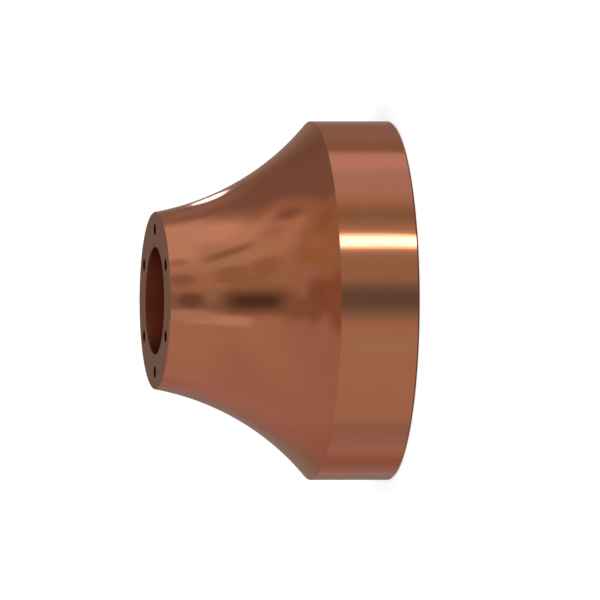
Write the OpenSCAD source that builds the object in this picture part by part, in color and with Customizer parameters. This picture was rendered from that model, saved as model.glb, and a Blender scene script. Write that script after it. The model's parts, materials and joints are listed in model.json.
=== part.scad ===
// Plasma gouging shield, turned in one piece from copper bar.
// The axis is Z. The back rim stands on z = 0 and the nose face is at the top.
// The section is drawn in the plane of radius (x) and height (y), then revolved.

/* [Skirt] */
// Nominal diameter of the female thread that takes the torch's cap
thread_d = 27; // [25:0.1:32]
// Pitch of the thread
thread_pitch = 1; // [0.75:0.25:1.5]
// Wall of the skirt outside the thread's root
skirt_wall = 1.6; // [1.2:0.1:3]
// Height of the cylindrical skirt, from the rim to the start of the flare
skirt_h = 6.7; // [5.5:0.1:9]
// Distance of the cap's seat below the start of the flare
seat_drop = 0.7; // [0.5:0.1:1.5]
// How far the chamfer at the mouth opens past the thread's root
lead_in = 0.5; // [0.2:0.1:0.8]
// Width of the relief groove between the thread and the seat
relief_w = 1.2; // [0.8:0.1:2]
// How far the relief groove runs past the thread's root
relief_depth = 0.15; // [0.1:0.05:0.4]
// How far the relief groove cuts into the seat's outer corner
corner_relief = 0.1; // [0.05:0.05:0.3]

/* [Flare and nose] */
// Height from the rim to the nose face
body_h = 20; // [18:0.1:24]
// Diameter of the nose, where the flare ends
nose_d = 14.95; // [14:0.05:17]
// Slope of the flare at the nose, from the axis
nose_slope = 10.1; // [5:0.1:13]
// Thickness of the nose plate
nose_t = 3.2; // [2:0.1:4.5]
// Leg of the small chamfer that breaks the nose's edge and the orifice's lip
edge_break = 0.05; // [0.05:0.05:0.3]
// Leg of the chamfer round the back rim
rim_break = 0.15; // [0.05:0.05:0.3]

/* [Gas passages] */
// Diameter of the orifice that the arc passes through
orifice_d = 9.05; // [7:0.05:9.8]
// Leg of the chamfer where gas enters the orifice
orifice_entry = 0.6; // [0.2:0.1:0.8]
// Number of vents in the ring round the orifice
vent_count = 6; // [3:1:12]
// Diameter of a vent
vent_d = 1.05; // [0.6:0.05:1.4]

/* [Inside] */
// Diameter of the pilot bore behind the seat, which the cap's front lip fits
pilot_d = 21.2; // [18:0.1:22.5]
// Depth of the pilot bore from the seat
pilot_depth = 2.5; // [1:0.1:3]
// Leg of the chamfer that leads the lip into the pilot bore
pilot_lead = 0.2; // [0.1:0.05:0.4]
// Width of the gas chamber's floor outside the vents
vent_margin = 0.2; // [0.1:0.05:0.4]

/* [Hidden] */
$fn = 192;
vent_fn = 48;
copper = [0.72, 0.43, 0.33];
over = 1; // how far a cutting shape runs past the face that it opens

// The crests of a 60 degree thread stand five eighths of its sharp height in from its root.
thread_r = thread_d / 2;
thread_form = 5 / 8 * cos(30);
crest_r = thread_r - thread_form * thread_pitch;

skirt_r = thread_r + skirt_wall;
nose_r = nose_d / 2;
orifice_r = orifice_d / 2;
pilot_r = pilot_d / 2;

// Heights of the steps inside, from the rim.
seat_z = skirt_h - seat_drop;
pilot_z = seat_z + pilot_depth;
floor_z = body_h - nose_t;

// The flare is a hollow arc that leaves the nose at nose_slope and ends on the skirt's edge.
chord_slope = atan2(skirt_r - nose_r, body_h - skirt_h);
half_arc = chord_slope - nose_slope;
flare_r = norm([skirt_r - nose_r, body_h - skirt_h]) / 2 / sin(half_arc);
flare_centre = [
    nose_r + flare_r * cos(nose_slope),
    body_h + flare_r * sin(nose_slope)
];

// The vents lie midway between the orifice and the nose's edge.
vent_ring_r = (orifice_r + nose_r) / 2;
floor_r = vent_ring_r + vent_d / 2 + vent_margin;

function heading(angle) = [cos(angle), sin(angle)];

// A cut across a corner of the section, whose two sides run off from it at these angles.
module corner_cut(corner, side_a, side_b, leg) {
    start = corner + leg * heading(side_a);
    end = corner + leg * heading(side_b);
    past = over * (end - start) / norm(end - start);
    outward = -over * (heading(side_a) + heading(side_b));
    polygon([start - past, end + past, end + past + outward, start - past + outward]);
}

// The outside before its edges are broken.
module blank_section() {
    difference() {
        square([skirt_r, body_h]);
        translate(flare_centre) circle(r = flare_r);
    }
}

// The small chamfers on the nose's edge and the back rim. The blunt shoulder is left as turned.
module edge_breaks() {
    corner_cut([nose_r, body_h], 180, nose_slope - 90, edge_break);
    corner_cut([skirt_r, 0], 90, 180, rim_break);
}

// The bore at the thread's crests, its chamfered mouth and the relief groove at the seat.
module thread_section() {
    translate([0, -over]) square([crest_r, seat_z + over]);
    corner_cut([crest_r, 0], 0, 90, thread_r + lead_in - crest_r);
    relief_section();
}

// The relief groove, which also clears the corner so that the cap seats flat.
module relief_section() {
    inner_r = crest_r - corner_relief;
    translate([inner_r, seat_z - relief_w])
        square([thread_r + relief_depth - inner_r, relief_w + corner_relief]);
}

// The pilot bore with its chamfered mouth, and the conical gas chamber up to the nose plate.
module chamber_section() {
    translate([0, seat_z - over]) square([pilot_r, pilot_depth + over]);
    corner_cut([pilot_r, seat_z], 0, 90, pilot_lead);
    polygon([
        [0, pilot_z],
        [pilot_r, pilot_z],
        [floor_r, floor_z],
        [0, floor_z]
    ]);
}

// The orifice through the nose plate, chamfered at its entry and its lip.
module orifice_section() {
    translate([0, floor_z - over]) square([orifice_r, nose_t + 2 * over]);
    corner_cut([orifice_r, floor_z], 0, 90, orifice_entry);
    corner_cut([orifice_r, body_h], 0, -90, edge_break);
}

module shield_section() {
    difference() {
        blank_section();
        edge_breaks();
        thread_section();
        chamber_section();
        orifice_section();
    }
}

// The straight gas vents through the nose plate.
module vents() {
    for (i = [0 : vent_count - 1])
        rotate([0, 0, i * 360 / vent_count])
            translate([vent_ring_r, 0, floor_z - over])
                cylinder(d = vent_d, h = nose_t + 2 * over, $fn = vent_fn);
}

module shield() {
    color(copper)
        difference() {
            rotate_extrude() shield_section();
            vents();
        }
}

shield();
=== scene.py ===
"""Looks of a plasma gouging shield, a copper cap turned from one bar.

Sizes are in millimetres, as on a turner's drawing, and meshes are written in metres. The shield
stands on its back rim with its nose up. Its axis is Z, and one vent of the ring lies on +X.
"""

import json
import logging
import math
from dataclasses import dataclass, field
from enum import Enum

import bpy
from mathutils import Matrix, Vector


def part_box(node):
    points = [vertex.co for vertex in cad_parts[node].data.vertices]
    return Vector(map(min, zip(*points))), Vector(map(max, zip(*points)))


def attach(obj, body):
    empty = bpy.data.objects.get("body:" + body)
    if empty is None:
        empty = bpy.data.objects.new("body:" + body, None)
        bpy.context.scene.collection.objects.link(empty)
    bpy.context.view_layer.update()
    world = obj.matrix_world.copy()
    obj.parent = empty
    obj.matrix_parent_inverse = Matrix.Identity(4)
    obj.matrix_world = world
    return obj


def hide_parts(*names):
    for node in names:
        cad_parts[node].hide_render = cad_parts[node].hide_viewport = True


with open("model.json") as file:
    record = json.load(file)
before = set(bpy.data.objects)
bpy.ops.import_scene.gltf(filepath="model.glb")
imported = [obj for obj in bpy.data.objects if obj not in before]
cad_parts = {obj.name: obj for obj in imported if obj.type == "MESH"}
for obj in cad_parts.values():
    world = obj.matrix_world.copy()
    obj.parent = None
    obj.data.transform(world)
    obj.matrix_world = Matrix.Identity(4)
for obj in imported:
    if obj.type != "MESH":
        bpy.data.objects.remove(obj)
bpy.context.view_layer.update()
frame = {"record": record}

MM = 0.001

# The middle of a noise texture's range.
NOISE_MIDDLE = 0.5
# A quarter turn, as the shader counts turns.
QUARTER_TURN = 0.25
# Share of the shield's height at which the light tent is centred.
TENT_MIDDLE = 0.6
# A half width past the seam behind the shield, for a panel that goes all round.
ALL_ROUND = 190.0
# The elevation kept for the shade under the rim, which no other point of the tent has.
UNDER_RIM = -90.0

log = logging.getLogger("shield")

Pair = tuple[float, float]
Colour = tuple[float, float, float]


class Wire:
    """An output socket that Python's operators turn into Math nodes."""

    def __init__(self, graph: "Graph", socket: bpy.types.NodeSocket) -> None:
        """Keeps the socket and the graph that it belongs to."""
        self.graph = graph
        self.socket = socket

    def math(self, operation: str, *others: "Wire | float") -> "Wire":
        """Applies a Math node to this wire.

        Args:
            operation: The Math node's operation.
            others: The node's further values.

        Returns:
            The result's wire.
        """
        return self.graph.math(operation, self, *others)

    def __add__(self, other: "Wire | float") -> "Wire":
        """Sum."""
        return self.math("ADD", other)

    def __radd__(self, other: float) -> "Wire":
        """Sum, with the number on the left."""
        return self.graph.math("ADD", other, self)

    def __sub__(self, other: "Wire | float") -> "Wire":
        """Difference."""
        return self.math("SUBTRACT", other)

    def __rsub__(self, other: float) -> "Wire":
        """Difference, with the number on the left."""
        return self.graph.math("SUBTRACT", other, self)

    def __mul__(self, other: "Wire | float") -> "Wire":
        """Product."""
        return self.math("MULTIPLY", other)

    def __rmul__(self, other: float) -> "Wire":
        """Product, with the number on the left."""
        return self.graph.math("MULTIPLY", other, self)

    def __truediv__(self, other: "Wire | float") -> "Wire":
        """Quotient."""
        return self.math("DIVIDE", other)

    def __gt__(self, other: "Wire | float") -> "Wire":
        """One where this is greater, else zero."""
        return self.math("GREATER_THAN", other)

    def __lt__(self, other: "Wire | float") -> "Wire":
        """One where this is less, else zero."""
        return self.math("LESS_THAN", other)

    def __abs__(self) -> "Wire":
        """Size without sign."""
        return self.math("ABSOLUTE")


class Graph:
    """A node tree that is written as calls and sums."""

    def __init__(self, tree: bpy.types.NodeTree) -> None:
        """Starts from a tree that is emptied first."""
        self.tree = tree
        tree.nodes.clear()

    def add(self, kind: str, settings: dict | None = None,
            sockets: dict | None = None) -> bpy.types.Node:
        """Adds any node.

        Args:
            kind: The node's type.
            settings: The node's own properties, set before its sockets.
            sockets: Values or wires for its inputs, by name or by index.

        Returns:
            The new node.
        """
        node = self.tree.nodes.new(kind)
        for name, value in (settings or {}).items():
            setattr(node, name, value)
        for key, value in (sockets or {}).items():
            if isinstance(value, Wire):
                self.tree.links.new(value.socket, node.inputs[key])
            else:
                node.inputs[key].default_value = value
        return node

    def wire(self, kind: str, settings: dict | None = None, sockets: dict | None = None,
             out: str | int = 0) -> Wire:
        """Adds a node as add does, and returns the wire of its output named out."""
        return Wire(self, self.add(kind, settings, sockets).outputs[out])

    def math(self, operation: str, *values: Wire | float) -> Wire:
        """Adds a Math node on two or three values."""
        return self.wire("ShaderNodeMath", {"operation": operation}, dict(enumerate(values)))

    def split(self, vector: Wire) -> tuple[Wire, Wire, Wire]:
        """Splits a vector into its three parts."""
        node = self.add("ShaderNodeSeparateXYZ", sockets={0: vector})
        return tuple(Wire(self, socket) for socket in node.outputs)

    def hypot(self, across: Wire, up: Wire) -> Wire:
        """Finds the length that two lengths at a right angle span."""
        return (across * across + up * up).math("SQRT")


class ShaderGraph(Graph):
    """A material's or the world's nodes.

    A Mix node takes two numbers at its inputs 2 and 3. It takes two colours at its inputs 6 and 7,
    and gives their mixture at its output 2.
    """

    def seen(self) -> Wire:
        """Finds the rays that see the white surroundings, and not only their light.

        Returns:
            One for camera, glossy and transmission rays, else zero.
        """
        path = self.add("ShaderNodeLightPath")
        rays = [Wire(self, path.outputs[name])
                for name in ("Is Camera Ray", "Is Glossy Ray", "Is Transmission Ray")]
        return (rays[0] + rays[1] + rays[2]).math("MINIMUM", 1.0)

    def blend(self, share: Wire | float, first: Wire | float, second: Wire | float) -> Wire:
        """Mixes two numbers."""
        return self.wire("ShaderNodeMix", {"data_type": "FLOAT"}, {0: share, 2: first, 3: second})

    def tint(self, share: Wire | float, first: Wire | tuple, second: Wire | tuple) -> Wire:
        """Mixes two colours."""
        return self.wire("ShaderNodeMix", {"data_type": "RGBA"}, {0: share, 6: first, 7: second}, 2)

    def ramp(self, value: Wire, low: float, high: float, start: float = 0.0, end: float = 1.0) -> Wire:
        """Maps a value from low..high smoothly to start..end."""
        sockets = {"Value": value, "From Min": low, "From Max": high, "To Min": start, "To Max": end}
        return self.wire("ShaderNodeMapRange", {"interpolation_type": "SMOOTHSTEP"}, sockets)


class GeometryGraph(Graph):
    """A Geometry Nodes tree with named inputs."""

    def __init__(self, name: str, inputs: dict[str, str]) -> None:
        """Makes the tree with a Geometry input and output and the named inputs.

        Args:
            name: The tree's name.
            inputs: Each further input's name and socket type.
        """
        super().__init__(bpy.data.node_groups.new(name, "GeometryNodeTree"))
        face = self.tree.interface
        face.new_socket("Geometry", in_out="INPUT", socket_type="NodeSocketGeometry")
        for label, kind in inputs.items():
            face.new_socket(label, in_out="INPUT", socket_type=kind)
        face.new_socket("Geometry", in_out="OUTPUT", socket_type="NodeSocketGeometry")
        self.source = self.add("NodeGroupInput")

    def input(self, name: str) -> Wire:
        """The wire of a named input."""
        return Wire(self, self.source.outputs[name])

    def cut(self, blank: Wire, cutter: Wire) -> Wire:
        """Cuts a cutter's form out of a blank."""
        settings = {"operation": "DIFFERENCE", "solver": "MANIFOLD"}
        return self.wire("GeometryNodeMeshBoolean", settings, {"Mesh 1": blank, "Mesh 2": cutter})

    def lift(self, geometry: Wire, height: Wire) -> Wire:
        """Moves geometry up by a height."""
        way = self.wire("ShaderNodeCombineXYZ", sockets={2: height})
        return self.wire("GeometryNodeTransform", sockets={"Geometry": geometry, "Translation": way})

    def finish(self, geometry: Wire) -> None:
        """Sends the geometry to the tree's output."""
        self.add("NodeGroupOutput", sockets={"Geometry": geometry})

    def apply(self, holder: bpy.types.Object, values: dict[str, object]) -> bpy.types.Mesh:
        """Runs the tree on an object, and drops the empty slots in front of its materials.

        Args:
            holder: The object whose mesh goes in. It is removed.
            values: The named inputs' values.

        Returns:
            The result as a plain mesh.
        """
        modifier = holder.modifiers.new(self.tree.name, "NODES")
        modifier.node_group = self.tree
        for item in self.tree.interface.items_tree:
            if item.in_out == "INPUT" and item.name in values:
                modifier[item.identifier] = values[item.name]
        graph = bpy.context.evaluated_depsgraph_get()
        mesh = bpy.data.meshes.new_from_object(holder.evaluated_get(graph))
        bpy.data.objects.remove(holder)
        while mesh.materials and mesh.materials[0] is None:
            mesh.materials.pop(index=0)
        return mesh


def show(name: str, mesh: bpy.types.Mesh) -> bpy.types.Object:
    """Links a mesh into the scene as an object at the origin.

    Args:
        name: The name of the mesh and of its object.
        mesh: The mesh.

    Returns:
        The object.
    """
    mesh.name = name
    made = bpy.data.objects.new(name, mesh)
    bpy.context.scene.collection.objects.link(made)
    return made


class Region(Enum):
    """Where on the shield a finish lies."""

    BORED = "bored inside"
    # Painted shade: the vents' walls and the orifice's lip get a dark copper colour for the shade in
    # the holes.
    HOLE_SHADE = "drilled vents"
    TURNED = "turned outside"
    FACED = "faced ends"


@dataclass(frozen=True)
class CopperFinish:
    """One way that the bare copper is finished.

    The tool's lines are line_pitch apart and line_depth deep, in millimetres. Tarnish is the share
    of its colour that the copper loses in cloudy patches, which begin where the cloud passes
    cloud_low and are full at cloud_high. The two sways are how far the lines and the clouds move
    the roughness, as shares of it.
    """

    name: str
    colour: Colour
    roughness: float
    anisotropy: float
    line_pitch: float
    line_depth: float
    tarnish: float
    cloud_scale: float = 260.0
    cloud_low: float = 0.3
    cloud_high: float = 0.7
    line_sway: float = 0.25
    cloud_sway: float = 0.3

    def material(self) -> bpy.types.Material:
        """Makes the finish's material.

        Fine tool lines run round the axis. Their coordinate grows along every turned surface, up
        a wall as well as outwards across a face.

        Returns:
            The material.
        """
        made = bpy.data.materials.new(self.name)
        made.use_nodes = True
        graph = ShaderGraph(made.node_tree)
        place = graph.wire("ShaderNodeTexCoord", out="Object")
        x, y, z = graph.split(place)
        radius = graph.hypot(x, y)
        feed = z - radius
        lines = self.lines(graph, feed)
        cloud = graph.wire("ShaderNodeTexNoise", sockets={
            "Vector": place, "Scale": self.cloud_scale, "Detail": 3.0, "Roughness": 0.55})
        dark = tuple(part * (1 - self.tarnish) for part in self.colour)
        patches = graph.ramp(cloud, self.cloud_low, self.cloud_high)
        base = graph.tint(patches, (*self.colour, 1), (*dark, 1))
        by_lines = self.line_sway * (lines - NOISE_MIDDLE)
        by_clouds = self.cloud_sway * (cloud - NOISE_MIDDLE)
        rough = self.roughness * (1 + by_lines + by_clouds)
        bump = graph.wire("ShaderNodeBump", sockets={
            "Strength": 1.0, "Distance": self.line_depth * MM, "Height": lines}, out="Normal")
        shader = graph.wire("ShaderNodeBsdfPrincipled", sockets={
            "Base Color": base, "Metallic": 1.0, "Roughness": rough, "Normal": bump,
            "Anisotropic": self.anisotropy, "Anisotropic Rotation": QUARTER_TURN})
        graph.add("ShaderNodeOutputMaterial", sockets={"Surface": shader})
        return made

    def lines(self, graph: ShaderGraph, feed: Wire) -> Wire:
        """Draws uneven tool lines as noise along the tool's feed.

        Args:
            graph: The finish's nodes.
            feed: How far the tool has gone at each point.

        Returns:
            The lines' height, from 0 to 1.
        """
        scale = 1 / (self.line_pitch * MM)
        return graph.wire("ShaderNodeTexNoise", {"noise_dimensions": "1D"}, {
            "W": feed, "Scale": scale, "Detail": 2.0, "Roughness": 0.6})


BRIGHT_COPPER: Colour = (0.345, 0.125, 0.071)
FINISHES = {
    Region.TURNED: CopperFinish(
        "turned_copper", BRIGHT_COPPER, roughness=0.09, anisotropy=0.0,
        line_pitch=0.16, line_depth=0.0001, tarnish=0.05),
    Region.FACED: CopperFinish(
        "faced_copper", BRIGHT_COPPER, roughness=0.18, anisotropy=0.0,
        line_pitch=0.12, line_depth=0.0002, tarnish=0.06),
    # Painted shade: the bored inside has a darker, redder copper than the outside, for the shade deep
    # in the cap.
    Region.BORED: CopperFinish(
        "bored_copper", (0.32, 0.088, 0.05), roughness=0.34, anisotropy=0.3,
        line_pitch=0.2, line_depth=0.0006, tarnish=0.2),
    # Painted shade: far darker than the copper outside, this colour stands in for the shade in the
    # vents and on the orifice's lip.
    Region.HOLE_SHADE: CopperFinish(
        "drilled_copper", (0.12, 0.03, 0.012), roughness=0.3, anisotropy=0.0,
        line_pitch=0.1, line_depth=0.0005, tarnish=0.3),
}


@dataclass
class Shield:
    """The shield, turned in one piece. Sizes are in millimetres and degrees.

    The section is swept along a circle of radius path_r, and faces that meet at less than
    smooth_below are shaded as one. The thread's groove starts turns_below turns under the rim. Its
    flat at the root, its reach inside the bore and the rim's band are shares of the pitch. The last
    four fields tell regions apart: a face is level or steep by its normal's height, the outside
    faces outwards by more than outward_from, and a vent's wall is less than vent_band times the
    vent's radius off the ring.
    """

    skirt_r: float
    body_h: float
    crest_r: float
    pilot_r: float
    orifice_r: float
    seat_z: float
    thread_d: float = 27.0
    thread_pitch: float = 1.0
    skirt_h: float = 6.7
    lead_in: float = 0.5
    relief_w: float = 1.2
    relief_depth: float = 0.15
    corner_relief: float = 0.1
    nose_d: float = 14.95
    nose_slope: float = 10.1
    nose_t: float = 3.2
    edge_break: float = 0.05
    rim_break: float = 0.15
    orifice_entry: float = 0.6
    vent_count: int = 6
    vent_d: float = 1.05
    pilot_depth: float = 2.5
    pilot_lead: float = 0.2
    vent_margin: float = 0.2
    path_r: float = 1.0
    segments: int = 288
    arc_steps: int = 48
    vent_sides: int = 48
    turn_steps: int = 120
    smooth_below: float = 18.0
    flank_angle: float = 30.0
    root_flat: float = 0.125
    groove_lead: float = 0.125
    turns_below: float = 1.0
    rim_band: float = 0.01
    level_from: float = 0.99
    steep_below: float = 0.5
    outward_from: float = 0.02
    vent_band: float = 1.05

    @classmethod
    def from_frame(cls, node: str, record: dict) -> "Shield":
        """Takes the sizes that the frame holds.

        Args:
            node: The solid's name.
            record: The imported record, whose mounts give the bores.

        Returns:
            The shield.
        """
        _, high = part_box(node)
        mounts = {mount["name"]: mount for mount in record["mounts"]}
        bore = {name: mounts[name]["dims"]["r_mm"] for name in ("cap_thread", "cap_pilot", "orifice")}
        return cls(
            skirt_r=high.x / MM,
            body_h=high.z / MM,
            crest_r=bore["cap_thread"],
            pilot_r=bore["cap_pilot"],
            orifice_r=bore["orifice"],
            seat_z=mounts["seat"]["pos_m"][2] / MM,
        )

    @property
    def nose_r(self) -> float:
        """Radius of the nose."""
        return self.nose_d / 2

    @property
    def root_r(self) -> float:
        """Radius of the thread's root."""
        return self.thread_d / 2

    @property
    def vent_ring_r(self) -> float:
        """Radius of the ring of vents, midway between the orifice and the nose's edge."""
        return (self.orifice_r + self.nose_r) / 2

    def flare(self) -> list[Pair]:
        """Walks down the hollow arc, which leaves the nose at its slope and ends on the skirt.

        Returns:
            Points from the nose's edge break to the sharp shoulder.
        """
        rise = self.body_h - self.skirt_h
        reach = self.skirt_r - self.nose_r
        chord_slope = math.degrees(math.atan2(reach, rise))
        half_arc = chord_slope - self.nose_slope
        arc_r = math.hypot(reach, rise) / 2 / math.sin(math.radians(half_arc))
        slope = math.radians(self.nose_slope)
        centre = (self.nose_r + arc_r * math.cos(slope), self.body_h + arc_r * math.sin(slope))
        first = self.nose_slope + math.degrees(self.edge_break / arc_r)
        last = chord_slope + half_arc
        points = []
        for step in range(self.arc_steps + 1):
            angle = math.radians(first + (last - first) * step / self.arc_steps)
            points.append((centre[0] - arc_r * math.cos(angle), centre[1] - arc_r * math.sin(angle)))
        return points

    def outside(self) -> list[Pair]:
        """Walks the outside of the section.

        Returns:
            Points from the orifice's lip over the nose, the flare and the skirt to the rim.
        """
        return [
            (self.orifice_r + self.edge_break, self.body_h),
            (self.nose_r - self.edge_break, self.body_h),
            *self.flare(),
            (self.skirt_r, self.rim_break),
            (self.skirt_r - self.rim_break, 0.0),
        ]

    def inside(self) -> list[Pair]:
        """Walks the inside of the section, with the thread's bore at its crests.

        Returns:
            Points from the thread's mouth up through the chamber to the orifice's lip.
        """
        mouth_r = self.root_r + self.lead_in
        relief_r = self.root_r + self.relief_depth
        corner_r = self.crest_r - self.corner_relief
        floor_r = self.vent_ring_r + self.vent_d / 2 + self.vent_margin
        floor_z = self.body_h - self.nose_t
        return [
            (mouth_r, 0.0),
            (self.crest_r, mouth_r - self.crest_r),
            (self.crest_r, self.seat_z - self.relief_w),
            (relief_r, self.seat_z - self.relief_w),
            (relief_r, self.seat_z + self.corner_relief),
            (corner_r, self.seat_z + self.corner_relief),
            (corner_r, self.seat_z),
            (self.pilot_r + self.pilot_lead, self.seat_z),
            (self.pilot_r, self.seat_z + self.pilot_lead),
            (self.pilot_r, self.seat_z + self.pilot_depth),
            (floor_r, floor_z),
            (self.orifice_r + self.orifice_entry, floor_z),
            (self.orifice_r, floor_z + self.orifice_entry),
            (self.orifice_r, self.body_h - self.edge_break),
        ]

    def section(self) -> bpy.types.Object:
        """Makes the closed section as a wire mesh, ready for its sweep.

        Returns:
            An object with the radius past the path's along X, and the height down Y.
        """
        points = self.outside() + self.inside()
        count = len(points)
        mesh = bpy.data.meshes.new("section")
        mesh.from_pydata(
            [((radius - self.path_r) * MM, -height * MM, 0.0) for radius, height in points],
            [(i, (i + 1) % count) for i in range(count)],
            [],
        )
        return show("section", mesh)

    def groove(self) -> list[Pair]:
        """Draws the thread groove's section about its middle height.

        Returns:
            Its corners, from inside the bore out to the root and back.
        """
        inner_r = self.crest_r - self.groove_lead * self.thread_pitch
        slope = math.tan(math.radians(self.flank_angle))
        root_half = self.root_flat * self.thread_pitch / 2
        inner_half = root_half + (self.root_r - inner_r) * slope
        return [
            (inner_r, -inner_half),
            (self.root_r, -root_half),
            (self.root_r, root_half),
            (inner_r, inner_half),
        ]

    def build(self) -> bpy.types.Object:
        """Turns the section, cuts the vents and the thread, and dresses each region.

        Returns:
            The shield as one closed mesh.
        """
        graph = GeometryGraph("turned_shield", {
            "Segments": "NodeSocketInt",
            "Vent count": "NodeSocketInt",
            "Vent sides": "NodeSocketInt",
            "Vent radius": "NodeSocketFloat",
            "Vent ring": "NodeSocketFloat",
            "Nose height": "NodeSocketFloat",
            "Plate": "NodeSocketFloat",
            "Pitch": "NodeSocketFloat",
            "Turns": "NodeSocketFloat",
            "Turn steps": "NodeSocketInt",
            "Outside from": "NodeSocketFloat",
            "Lip": "NodeSocketFloat",
        })
        drilled = graph.cut(self.revolve(graph), self.vent_cutters(graph))
        threaded = graph.cut(drilled, self.thread_cutter(graph))
        realized = graph.wire("GeometryNodeRealizeInstances", sockets={0: threaded})
        graph.finish(self.dress(graph, realized))
        turns = (self.seat_z - self.relief_w / 2) / self.thread_pitch + self.turns_below
        margin = 2 * self.edge_break
        mesh = graph.apply(self.section(), {
            "Segments": self.segments,
            "Vent count": self.vent_count,
            "Vent sides": self.vent_sides,
            "Vent radius": self.vent_d / 2 * MM,
            "Vent ring": self.vent_ring_r * MM,
            "Nose height": self.body_h * MM,
            "Plate": self.nose_t * MM,
            "Pitch": self.thread_pitch * MM,
            "Turns": turns,
            "Turn steps": self.turn_steps,
            "Outside from": (self.nose_r - margin) * MM,
            "Lip": (self.orifice_r + margin) * MM,
        })
        mesh.shade_smooth()
        mesh.set_sharp_from_angle(angle=math.radians(self.smooth_below))
        return show("turned_shield", mesh)

    def revolve(self, graph: GeometryGraph) -> Wire:
        """Sweeps the section round the axis.

        Args:
            graph: The shield's tree.

        Returns:
            The blank, before its vents and its thread.
        """
        path = graph.wire("GeometryNodeCurvePrimitiveCircle", {"mode": "RADIUS"},
                          {"Resolution": graph.input("Segments"), "Radius": self.path_r * MM})
        profile = graph.wire("GeometryNodeMeshToCurve", sockets={0: graph.input("Geometry")})
        return graph.wire("GeometryNodeCurveToMesh", sockets={0: path, 1: profile})

    def vent_cutters(self, graph: GeometryGraph) -> Wire:
        """Sets a drill on each point of the vent ring, twice as long as the plate is thick.

        Args:
            graph: The shield's tree.

        Returns:
            The drills.
        """
        plate = graph.input("Plate")
        ring = graph.wire("GeometryNodeMeshCircle", sockets={
            "Vertices": graph.input("Vent count"), "Radius": graph.input("Vent ring")})
        drill = graph.wire("GeometryNodeMeshCylinder", sockets={
            "Vertices": graph.input("Vent sides"), "Radius": graph.input("Vent radius"),
            "Depth": plate * 2})
        drills = graph.wire("GeometryNodeInstanceOnPoints", sockets={"Points": ring, "Instance": drill})
        placed = graph.lift(drills, graph.input("Nose height") - plate / 2)
        return graph.wire("GeometryNodeRealizeInstances", sockets={0: placed})

    def thread_cutter(self, graph: GeometryGraph) -> Wire:
        """Sweeps the groove up a right-hand helix, from below the rim into the relief.

        Args:
            graph: The shield's tree.

        Returns:
            The thread's groove as a solid.
        """
        pitch = graph.input("Pitch")
        turns = graph.input("Turns")
        helix = graph.wire("GeometryNodeCurveSpiral", sockets={
            "Resolution": graph.input("Turn steps"), "Rotations": turns,
            "Start Radius": self.crest_r * MM, "End Radius": self.crest_r * MM,
            "Height": pitch * turns, "Reverse": True})
        helix = graph.lift(helix, pitch * -self.turns_below)
        helix = graph.wire("GeometryNodeSetCurveNormal", {"mode": "Z_UP"}, {0: helix})
        corners = [(radius - self.crest_r, height) for radius, height in self.groove()]
        sockets = {f"Point {number}": (across * MM, up * MM, 0.0)
                   for number, (across, up) in enumerate(corners, 1)}
        profile = graph.wire("GeometryNodeCurvePrimitiveQuadrilateral", {"mode": "POINTS"}, sockets)
        return graph.wire("GeometryNodeCurveToMesh", sockets={0: helix, 1: profile, "Fill Caps": True})

    def dress(self, graph: GeometryGraph, geometry: Wire) -> Wire:
        """Sets each region's material: inside first, then the vents, the outside and the ends.

        Args:
            graph: The shield's tree.
            geometry: The finished form.

        Returns:
            The form with its materials.
        """
        x, y, z = graph.split(graph.wire("GeometryNodeInputPosition"))
        nx, ny, nz = graph.split(graph.wire("GeometryNodeInputNormal"))
        radius = graph.hypot(x, y)
        outward = (x * nx + y * ny) / radius
        in_plate = z > graph.input("Nose height") - graph.input("Plate")
        off_ring = abs(radius - graph.input("Vent ring"))
        by_vent = off_ring < graph.input("Vent radius") * self.vent_band
        vents = by_vent * (abs(nz) < self.steep_below) * in_plate
        sloping = (nz > self.steep_below) * (nz < self.level_from)
        lip = (radius < graph.input("Lip")) * sloping * in_plate
        outside = (outward > self.outward_from) * (radius > graph.input("Outside from"))
        top = (nz > self.level_from) * in_plate
        rim = (nz < -self.level_from) * (z < graph.input("Pitch") * self.rim_band)
        masks = {
            Region.BORED: None,
            # The vents' walls and the orifice's lip take the dark colour of painted shade.
            Region.HOLE_SHADE: vents + lip,
            Region.TURNED: outside,
            Region.FACED: top + rim,
        }
        for region, mask in masks.items():
            sockets = {"Geometry": geometry, "Material": FINISHES[region].material()}
            if mask is not None:
                sockets["Selection"] = mask
            geometry = graph.wire("GeometryNodeSetMaterial", sockets=sockets)
        return geometry


@dataclass(frozen=True)
class Panel:
    """A cloth, card or lamp of the light tent, seen from the shield. Angles are in degrees.

    Azimuth 0 is towards the camera and 90 is towards +X. Level 1 is white, and the tint gives red
    and blue as shares of green. A lean of 1 moves the panel a degree of azimuth for each degree up,
    and a tilt of 1 moves it a degree up for each degree of azimuth. An oval's edge is as soft all
    round as its blur makes it at its sides.
    """

    name: str
    azimuth: float
    half_width: float
    blur: float
    level: float
    tint: Pair = (1.0, 1.0)
    elevation: float = 40.0
    half_height: float = 120.0
    blur_height: float = 6.0
    lean: float = 0.0
    tilt: float = 0.0
    oval: bool = False

    def mask(self, graph: ShaderGraph, azimuth: Wire, elevation: Wire) -> Wire:
        """Where the panel covers what lies behind it.

        Args:
            graph: The tent's material.
            azimuth: Azimuth of the point.
            elevation: Elevation of the point.

        Returns:
            One inside the panel and zero outside it.
        """
        aside = azimuth - self.azimuth
        above = elevation - self.elevation
        if self.lean:
            aside = aside - self.lean * above
        if self.tilt:
            above = above - self.tilt * aside
        aside = abs(aside).math("MINIMUM", 360 - abs(aside))
        if self.oval:
            across = aside / self.half_width
            up = above / self.half_height
            softness = self.blur / self.half_width
            return graph.ramp(graph.hypot(across, up), 1 + softness, 1 - softness)
        wide, high = self.half_width, self.half_height
        across = graph.ramp(aside, wide + self.blur, wide - self.blur)
        up = graph.ramp(abs(above), high + self.blur_height, high - self.blur_height)
        return across * up


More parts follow.
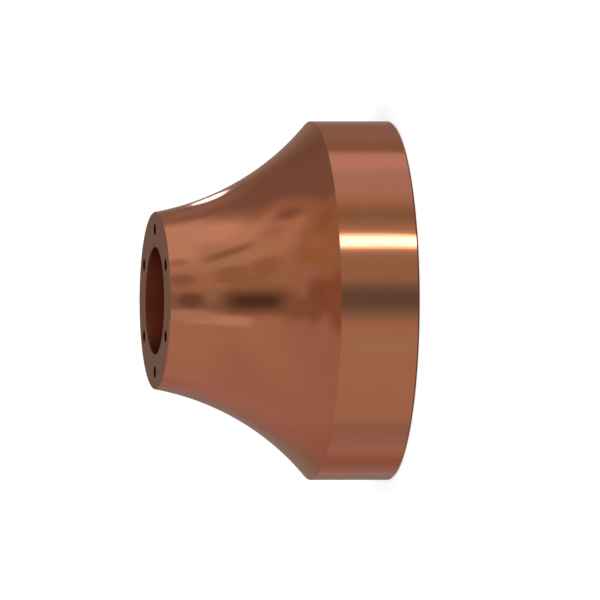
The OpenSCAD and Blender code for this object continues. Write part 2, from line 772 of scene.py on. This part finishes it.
@dataclass
class LightTent:
    """White cloth round the shield and cards on the table, which only reflections see.

    Sizes are in millimetres and angles in degrees. Panels are listed from the back to the front,
    and each covers those before it. After its name a panel gives its azimuth, half width, blur and
    level, then its tint, elevation, half height, blur in height and lean.
    """

    foot_r: float
    middle_z: float
    radius: float = 600.0
    table_z: float = -0.01
    shade_width: float = 1.2
    foot_gap: float = 0.03
    sight_z: float = 16.0
    falls: tuple[float, ...] = (10.0, 7.0, 5.0, 4.0, 3.0, 2.0, 1.5, 1.0)
    behind: float = 115.0
    cloth: float = 0.99
    cloth_tint: Pair = (1.0, 0.92)
    step: int = 3
    lowest: int = -9
    dome_panels: tuple[Panel, ...] = field(default_factory=lambda: (
        Panel("upper cloth", 0, ALL_ROUND, 1, 0.82, (1.07, 0.93), 90, 35.5, 14),
        Panel("left wall", -130, 40, 24, 0.79, (1.14, 0.96), 30, 60, 10),
        Panel("left wall foot", -102, 8, 8, 0.93, (1.06, 0.98), 10, 6, 6),
        Panel("left dip", -76, 18, 12, 0.86, (1.05, 0.97), 31, 7, 8),
        Panel("left dusk", -168, 34, 20, 0.42, (1.46, 0.81), 0, 60, 15),
        Panel("left foot", -128, 9, 9, 0.58, (1.3, 0.9), 0, 6, 7),
        Panel("back right", 154, 48, 12, 0.455, (1.1, 0.92), 20, 38, 8, -0.7),
        Panel("back right high", 103.5, 6.5, 5, 0.73, (1.1, 0.83), 44, 13, 5),
        Panel("back right dusk", 168, 36, 16, 0.285, (1.45, 0.73), 5, 30, 12),
        Panel("back right foot", 129, 10, 8, 0.54, (1.2, 0.83), 5.5, 6.5, 5),
        Panel("back wall", 180, 11, 8, 0.185, (1.37, 0.74), 4, 32, 12),
        Panel("back cloth", 180, 28, 8, 0.85, (1.03, 0.92), 57, 20, 9),
        Panel("shelf", 84, 34, 8, 0.71, (1.18, 0.63), 65, 8.2, 3, tilt=-0.1),
        Panel("shelf end", 101, 11, 6, 0.57, (1.1, 0.75), 59.5, 2.3, 3, tilt=-0.15),
        Panel("shelf light", 77, 8, 7, 0.83, (1.12, 0.68), 63.5, 1.3, 3),
        Panel("shelf top", 72, 36, 8, 0.75, (1.03, 0.74), 76, 3, 2.5),
        Panel("high window", 72.5, 24.5, 7, 1.1, (1.02, 0.87), 46.8, 7.8, 4),
        Panel("high window smudge", 79, 6, 4, 0.92, (1.06, 0.88), 43.5, 4, 3),
        Panel("window bar", 95.5, 5.5, 4, 0.52, (1.1, 0.86), 44, 4, 3),
        Panel("window top", 78, 11.5, 6, 1.29, (1.0, 0.95), 32.5, 6, 3.5),
        Panel("window", 86, 13.3, 7.5, 1.51, (0.98, 1.0), 18.2, 10.6, 5, -0.55),
        Panel("window corner", 94, 5, 4, 1.13, (1.0, 0.92), 36, 1.6, 2.4),
        Panel("window foot", 77, 31, 8, 1.46, (0.96, 1.0), 5, 9, 4),
        Panel("low window", 60, 17.5, 8, 1.48, (0.94, 0.97), 12.3, 7.2, 5),
        Panel("window slant", 65, 4.5, 4, 1.24, (0.96, 0.92), 25.5, 5, 3.5, 0.9),
        Panel("side cloth", 22, 7, 4, 0.77, (0.99, 0.82), 47.8, 13.2, 5),
        Panel("side cloth fold", 26, 5, 4, 0.88, (1.0, 0.84), 58, 8.5, 5),
        Panel("brown cloth", 31, 10, 3, 0.74, (1.02, 0.8), 35, 6.5, 3),
        Panel("brown cloth top", 39.5, 12, 5, 0.73, (1.06, 0.82), 48, 6, 4, 0.4),
        Panel("grey side", 16, 6, 4, 0.87, (0.97, 0.88), 15.5, 8.5, 6),
        Panel("grey patch", 26.2, 7.6, 3.5, 0.64, (1.05, 0.95), 15.3, 5.7, oval=True),
        Panel("low patch", 48.5, 5.7, 3, 0.88, (1.05, 0.95), 12.3, 4.2, oval=True),
        Panel("light slant", 48, 7, 3.5, 1.19, (0.91, 0.87), 32, 13, 4, 0.63),
        Panel("dark slant", 57.2, 4.5, 3.3, 0.67, (1.02, 0.76), 30.5, 7, 3, 0.95),
        Panel("camera gap", -1.3, 12.7, 4, 0.69, (0.94, 0.86), 36, 30, 4),
        Panel("camera gap light", 8, 8, 5, 0.88, (0.95, 0.84), 28, 3, 3),
        Panel("camera side", -1, 16.4, 5, 0.54, (1.1, 0.84), 48, 14.5, 4),
        Panel("camera high", -1, 8.5, 6.5, 0.19, (1.06, 0.92), 47, 12.4, 6.5),
        Panel("camera low", 0, 9, 4, 0.38, (1.05, 0.83), 19, 5.3, oval=True),
        Panel("strip", -23.5, 5.5, 3, 1.46, (0.94, 0.95), 30, 13.5, 3, -0.1),
        Panel("strip foot", -18.3, 6.6, 3, 1.19, (0.92, 0.95), 18, 9, 4),
        Panel("ceiling", 0, ALL_ROUND, 1, 0.47, (1.37, 0.73), 90, 11, 3),
        Panel("ceiling dip", 5, 35, 12, 0.45, (1.25, 0.73), 75.5, 5.5, 3, 1.5),
        Panel("ceiling left", -11, 14, 6, 0.54, (1.1, 0.8), 67, 8, 5),
        Panel("sliver", 153.2, 6.9, 0.5, 3.6, (1.0, 1.0), 0.5, 2.0, tilt=-0.39, oval=True),
    ))
    table_panels: tuple[Panel, ...] = field(default_factory=lambda: (
        Panel("left shade", -100, 12, 10, 0.78, (1.07, 1.02)),
        Panel("left brown", -142, 25, 13, 0.43, (1.45, 0.82)),
        Panel("left end", -175, 19, 6, 0.29, (1.15, 0.88)),
        Panel("left dip", -91, 4, 5, 0.73, (1.03, 0.98)),
        Panel("left glow", -30, 6, 8, 1.07, (0.92, 0.92)),
        Panel("camera", 0.8, 10.5, 9.5, 0.42, (0.8, 0.98)),
        Panel("near grey", 21, 8, 4, 0.86, (0.97, 0.85)),
        Panel("key halo", 38.3, 6, 3.5, 1.8, (0.9, 0.85)),
        Panel("key", 38.25, 3.35, 2.8, 12.6, (0.9, 1.0)),
        Panel("far grey", 57, 6.5, 5.5, 0.71, (0.95, 0.8)),
        Panel("window edge", 90, 18, 6, 1.16, (0.95, 1.06)),
        Panel("window", 100, 7.5, 6, 1.29, (1.05, 1.12)),
        Panel("back right", 146, 34.5, 3.5, 0.54, (1.17, 0.78)),
        Panel("far right", 165, 27, 15, 0.28, (1.6, 0.77)),
        Panel("back wall", 180, 12, 8, 0.27, (1.25, 0.85)),
        Panel("sliver", 155.2, 6.9, 0.5, 3.6, (1.0, 1.0), 0.3, 2.0, tilt=-0.39, oval=True),
        Panel("foot shade", 0, ALL_ROUND, 1, 0.28, (1.3, 0.8), UNDER_RIM, 30, 1),
    ))

    def build(self) -> list[bpy.types.Object]:
        """Makes the dome and the table cards, which reflections see and nothing else does.

        Returns:
            The dome and the sheet of table cards.
        """
        dome = show("tent_dome", self.dome())
        table = show("tent_table", self.table())
        for made, panels in ((dome, self.dome_panels), (table, self.table_panels)):
            made.data.materials.append(self.material(made.name, panels))
            made.visible_camera = False
            made.visible_diffuse = False
            made.visible_transmission = False
            made.visible_shadow = False
        return [dome, table]

    def mesh(self, name: str, rows: list[list[tuple[Vector, float, float]]]) -> bpy.types.Mesh:
        """Makes a sheet from rows of points.

        Args:
            name: The mesh's name.
            rows: Rows of as many points each, with their azimuth and elevation.

        Returns:
            The mesh, in metres, with the angles as attributes.
        """
        width = len(rows[0])
        points = [entry for row in rows for entry in row]
        faces = [(r * width + c, r * width + c + 1, (r + 1) * width + c + 1, (r + 1) * width + c)
                 for r in range(len(rows) - 1) for c in range(width - 1)]
        mesh = bpy.data.meshes.new(name)
        mesh.from_pydata([place * MM for place, _, _ in points], [], faces)
        for key, label in ((1, "azimuth"), (2, "elevation")):
            layer = mesh.attributes.new(label, "FLOAT", "POINT")
            layer.data.foreach_set("value", [entry[key] for entry in points])
        return mesh

    def dome(self) -> bpy.types.Mesh:
        """Makes a dome about the tent's middle, which ends below the table and leaves no gap.

        Returns:
            The dome.
        """
        rows = []
        for elevation in range(self.lowest, 91, self.step):
            up = math.radians(elevation)
            row = []
            for azimuth in range(-180, 181, self.step):
                side = heading(azimuth) * math.cos(up)
                place = side * self.radius + Vector((0, 0, self.middle_z + self.radius * math.sin(up)))
                row.append((place, float(azimuth), float(elevation)))
            rows.append(row)
        return self.mesh("tent_dome", rows)

    def table(self) -> bpy.types.Mesh:
        """Makes cards on the table, each along the line that the skirt's wall mirrors.

        They fan out from the front half of the foot and run straight back from the other half.
        There the sheet's azimuth goes up to behind past 180 and turns back on itself, so that both
        edges meet their neighbours. The shade under the rim is a ring inside them. The skirt sees
        the near table, at the first fall, and the flare, from about sight_z up, sees the far table
        at the lesser falls.

        Returns:
            The sheet.
        """
        down = Vector((0, 0, self.table_z))
        rows = []
        for angle in range(-90, 271):
            if angle <= 90:
                azimuth = 2.0 * angle
                way = heading(azimuth)
            else:
                azimuth = 180 + self.behind * (1 - abs(angle - 180) / 90)
                way = heading(180)
            foot = heading(angle) * self.foot_r + down
            inner = heading(angle) * (self.foot_r - self.shade_width) + down
            edge = foot + way * self.foot_gap
            row = [
                (inner, azimuth, UNDER_RIM),
                (foot, azimuth, UNDER_RIM),
                (edge, azimuth, -self.falls[0]),
            ]
            for fall in self.falls:
                reach = self.sight_z / math.tan(math.radians(fall))
                row.append((foot + way * reach, azimuth, -fall))
            rows.append(row)
        return self.mesh("tent_table", rows)

    def material(self, name: str, panels: tuple[Panel, ...]) -> bpy.types.Material:
        """Makes glowing cloth whose panels follow the azimuth and elevation of each point.

        Each panel's mask is labelled with the panel's name.

        Args:
            name: The material's name.
            panels: The panels, from the back to the front.

        Returns:
            The material.
        """
        made = bpy.data.materials.new(name)
        made.use_nodes = True
        graph = ShaderGraph(made.node_tree)
        azimuth = graph.wire("ShaderNodeAttribute", {"attribute_name": "azimuth"}, out="Fac")
        elevation = graph.wire("ShaderNodeAttribute", {"attribute_name": "elevation"}, out="Fac")
        level: Wire | float = self.cloth
        tint: Wire | tuple = (self.cloth_tint[0], 1, self.cloth_tint[1], 1)
        for panel in panels:
            mask = panel.mask(graph, azimuth, elevation)
            mask.socket.node.label = panel.name
            level = graph.blend(mask, level, panel.level)
            tint = graph.tint(mask, tint, (panel.tint[0], 1, panel.tint[1], 1))
        glow = graph.wire("ShaderNodeVectorMath", {"operation": "SCALE"}, {0: tint, "Scale": level})
        light = graph.wire("ShaderNodeEmission", sockets={"Color": glow, "Strength": 1.0})
        graph.add("ShaderNodeOutputMaterial", sockets={"Surface": light})
        return made


def heading(azimuth: float) -> Vector:
    """The level unit vector at an azimuth in degrees, 0 along -Y and 90 along +X."""
    turn = math.radians(azimuth)
    return Vector((math.sin(turn), -math.cos(turn), 0.0))


@dataclass
class Studio:
    """Floor, surroundings, lamp and camera.

    Sizes and distances are in metres, but for the floor's drop below the rim and the inset from the
    foot of its painted shade under the shield, which are in millimetres. Angles are in degrees.
    """

    floor_size: float = 4.0
    floor_colour: float = 0.38
    floor_lift: float = 0.64
    floor_drop: float = 0.02
    shade_inset: float = 1.0
    ambient: float = 0.75
    lamp_size: float = 0.5
    lamp_power: float = 4.5
    lamp_azimuth: float = -4.0
    lamp_elevation: float = 60.0
    lamp_distance: float = 0.9
    camera_elevation: float = 10.03
    pixels: int = 600
    pixels_per_mm: float = 11.879
    nose_px: Pair = (154.84, 300.64)
    camera_distance: float = 0.2

    def floor(self, foot_r: float) -> bpy.types.Object:
        """Makes a plain pale floor that reads as white and keeps the shield's shadow.

        Args:
            foot_r: Radius of the shield's foot, in millimetres. The camera sees the floor inside it
            unlifted, which is painted shade under the shield, darker by its place.

        Returns:
            The floor.
        """
        half = self.floor_size / 2
        mesh = bpy.data.meshes.new("floor")
        corners = [(-half, -half), (half, -half), (half, half), (-half, half)]
        mesh.from_pydata([(x, y, -self.floor_drop * MM) for x, y in corners], [], [(0, 1, 2, 3)])
        made = show("floor", mesh)
        material = bpy.data.materials.new("pale_floor")
        material.use_nodes = True
        graph = ShaderGraph(material.node_tree)
        paint = graph.wire("ShaderNodeBsdfDiffuse", sockets={"Color": (*[self.floor_colour] * 3, 1)})
        x, y, _ = graph.split(graph.wire("ShaderNodeTexCoord", out="Object"))
        # Painted shade: inside the shield's foot the camera gets no lift, so the floor there is darker
        # by its place.
        under_shield_shade = graph.hypot(x, y) < (foot_r - self.shade_inset) * MM
        looking = graph.wire("ShaderNodeLightPath", out="Is Camera Ray")
        lift = graph.wire("ShaderNodeEmission", sockets={
            "Strength": (graph.seen() - under_shield_shade * looking) * self.floor_lift})
        both = graph.wire("ShaderNodeAddShader", sockets={0: paint, 1: lift})
        graph.add("ShaderNodeOutputMaterial", sockets={"Surface": both})
        mesh.materials.append(material)
        return made

    def world(self) -> None:
        """White surroundings, which light the floor at a plain level."""
        world = bpy.data.worlds.new("white_studio")
        world.use_nodes = True
        graph = ShaderGraph(world.node_tree)
        strength = graph.blend(graph.seen(), self.ambient, 1.0)
        sky = graph.wire("ShaderNodeBackground", sockets={"Color": (1, 1, 1, 1), "Strength": strength})
        graph.add("ShaderNodeOutputWorld", sockets={"Surface": sky})
        bpy.context.scene.world = world

    def lamp(self) -> None:
        """A soft lamp by the camera, which throws the shadow behind the shield."""
        data = bpy.data.lights.new("soft_lamp", "AREA")
        data.size = self.lamp_size
        data.energy = self.lamp_power
        up = math.radians(self.lamp_elevation)
        towards = heading(self.lamp_azimuth) * math.cos(up) + Vector((0, 0, math.sin(up)))
        made = bpy.data.objects.new("soft_lamp", data)
        made.location = towards * self.lamp_distance
        made.rotation_euler = towards.to_track_quat("Z", "Y").to_euler()
        made.visible_glossy = False
        bpy.context.scene.collection.objects.link(made)

    def camera(self, body_h: float) -> None:
        """A parallel view from the front, rolled so that the nose points left.

        Args:
            body_h: Height of the nose face, in millimetres, which the photograph places.
        """
        tilt = math.radians(self.camera_elevation)
        back = Vector((0, -math.cos(tilt), math.sin(tilt)))
        left = Vector((0, math.sin(tilt), math.cos(tilt)))
        up = Vector((1, 0, 0))
        middle = self.pixels / 2
        nose = left * (left.z * body_h)
        across = (middle - self.nose_px[0]) / self.pixels_per_mm
        raised = (self.nose_px[1] - middle) / self.pixels_per_mm
        aim = (nose - left * across + up * raised) * MM
        data = bpy.data.cameras.new("camera")
        data.type = "ORTHO"
        data.ortho_scale = self.pixels / self.pixels_per_mm * MM
        made = bpy.data.objects.new("camera", data)
        turn = Matrix((-left, up, back)).transposed().to_4x4()
        made.matrix_world = Matrix.Translation(aim + back * self.camera_distance) @ turn
        bpy.context.scene.collection.objects.link(made)
        bpy.context.scene.camera = made


def main() -> None:
    """Builds the shield, the tent and the studio in order."""
    logging.basicConfig(level=logging.INFO, format="%(name)s: %(message)s")
    bpy.context.scene.view_settings.view_transform = "Standard"
    shield = Shield.from_frame("shield", frame["record"])
    piece = shield.build()
    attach(piece, "root")
    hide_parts("shield")
    log.info("%s: %d faces", piece.name, len(piece.data.polygons))
    tent = LightTent(foot_r=shield.skirt_r, middle_z=shield.body_h * TENT_MIDDLE)
    stage = tent.build()
    studio = Studio()
    stage.append(studio.floor(shield.skirt_r))
    studio.world()
    studio.lamp()
    studio.camera(shield.body_h)
    log.info("stage: %s", ", ".join(made.name for made in stage))


if __name__ == "__main__":
    main()
